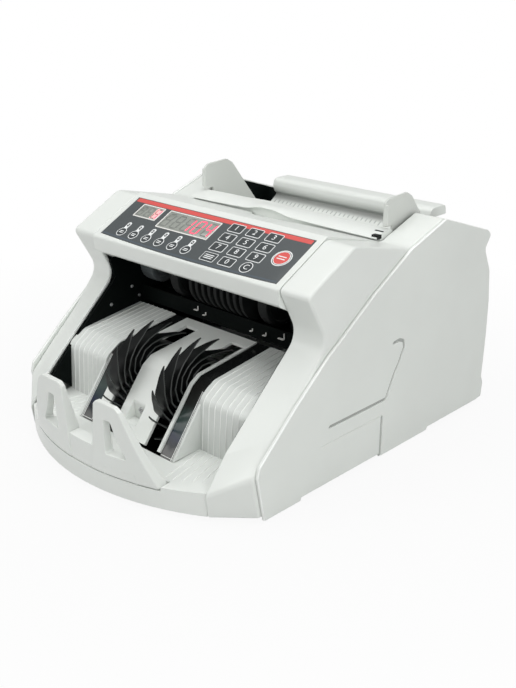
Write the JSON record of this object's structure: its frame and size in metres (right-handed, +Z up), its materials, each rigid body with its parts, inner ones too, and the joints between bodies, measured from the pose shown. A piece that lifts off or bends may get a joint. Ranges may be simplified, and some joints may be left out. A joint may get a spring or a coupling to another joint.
{
  "type": "banknote counter",
  "caption": "Desktop banknote counter: a top hopper with sliding guides feeds notes past a ribbed roller to two bladed stacking wheels and a front stacker under a sloping keypad.",
  "frame": {"origin": "on the desk, under the middle of the machine's box", "axes": "+X to the machine's right as seen by the user in front, +Y from the front to the rear, +Z up"},
  "size_m": [0.245, 0.303, 0.177],
  "materials": {
    "light_plastic": "fine satin",
    "panel_plastic": "fine texture",
    "black_plastic": "satin",
    "smoked_window": "polished",
    "black_rubber": "matte",
    "pale_rubber": "matte",
    "steel": "ground",
    "overlay_film": "printed polyester film",
    "display_glass": "clear window over a display",
    "board_green": "coated circuit board"
  },
  "bodies": {
    "chassis": {"base_tray": "light_plastic", "left_front_foot": "black_rubber", "left_rear_foot": "black_rubber", "right_front_foot": "black_rubber", "right_rear_foot": "black_rubber", "left_side_shell": "light_plastic", "right_side_shell": "light_plastic", "left_side_panel": "panel_plastic", "right_side_panel": "panel_plastic", "left_side_frame": "black_plastic", "right_side_frame": "black_plastic", "left_chute_block": "light_plastic", "right_chute_block": "light_plastic", "left_slot_window": "smoked_window", "right_slot_window": "smoked_window", "centre_chute_plate": "light_plastic", "stacker_plate": "light_plastic", "rear_cover": "light_plastic", "console_housing": "light_plastic", "hopper_lip": "light_plastic", "keypad_overlay": "overlay_film", "batch_display": "display_glass", "count_display": "display_glass", "control_board": "board_green", "hopper_plate": "light_plastic", "guide_rail": "steel", "drive_motor": "steel", "impeller_belt": "black_rubber", "motor_belt": "black_rubber", "feed_belt": "black_rubber", "note_path": "black_plastic", "retard_block": "black_rubber", "power_supply": "panel_plastic", "power_inlet": "black_plastic", "switch_frame": "black_plastic", "fuse_holder": "black_plastic", "display_jack": "black_plastic", "knob_cup": "black_plastic"},
    "impeller": {"impeller_shaft": "steel", "left_impeller": "black_rubber", "right_impeller": "black_rubber", "impeller_pulley": "black_plastic"},
    "transport": {"transport_shaft": "steel", "transport_roller": "black_rubber", "left_transport_disc": "black_rubber", "right_transport_disc": "black_rubber", "left_grip_wheel": "pale_rubber", "right_grip_wheel": "pale_rubber", "transport_pulley": "black_plastic"},
    "feed": {"feed_shaft": "steel", "left_feed_roller": "black_rubber", "right_feed_roller": "black_rubber", "feed_pulley": "black_plastic"},
    "motor_rotor": {"motor_shaft": "steel", "motor_pulley": "black_plastic"},
    "left_guide": {"left_note_guide": "light_plastic"},
    "right_guide": {"right_note_guide": "light_plastic"},
    "rocker": {"power_rocker": "black_plastic"},
    "knob": {"gap_knob": "black_plastic"}
  },
  "joints": [
    {"name": "impeller_spin", "type": "hinge", "parent": "chassis", "child": "impeller", "pos_m": [0, -0.07517, 0.0492], "axis": [1, 0, 0], "continuous": true},
    {"name": "transport_spin", "type": "hinge", "parent": "chassis", "child": "transport", "pos_m": [0, -0.00571, 0.1066], "axis": [1, 0, 0], "continuous": true},
    {"name": "feed_spin", "type": "hinge", "parent": "chassis", "child": "feed", "pos_m": [0, 0.04387, 0.09503], "axis": [1, 0, 0], "continuous": true},
    {"name": "motor_spin", "type": "hinge", "parent": "chassis", "child": "motor_rotor", "pos_m": [-0.1, 0.0719, 0.0489], "axis": [1, 0, 0], "continuous": true},
    {"name": "left_guide_slide", "type": "slide", "parent": "chassis", "child": "left_guide", "axis": [1, 0, 0], "range_m": [0, 0.033]},
    {"name": "right_guide_slide", "type": "slide", "parent": "chassis", "child": "right_guide", "axis": [-1, 0, 0], "range_m": [0, 0.033]},
    {"name": "rocker_tip", "type": "hinge", "parent": "chassis", "child": "rocker", "pos_m": [-0.03, 0.14262, 0.05053], "axis": [1, 0, 0], "range_deg": [0, 16]},
    {"name": "knob_turn", "type": "hinge", "parent": "chassis", "child": "knob", "pos_m": [0, 0.14864, 0.10106], "axis": [0, 1, 0], "range_deg": [-180, 180]}
  ],
  "couplings": [
    {"joint": "motor_spin", "follows": "transport_spin", "ratio": 2},
    {"joint": "feed_spin", "follows": "transport_spin", "ratio": 1},
    {"joint": "impeller_spin", "follows": "transport_spin", "ratio": 0.6}
  ]
}
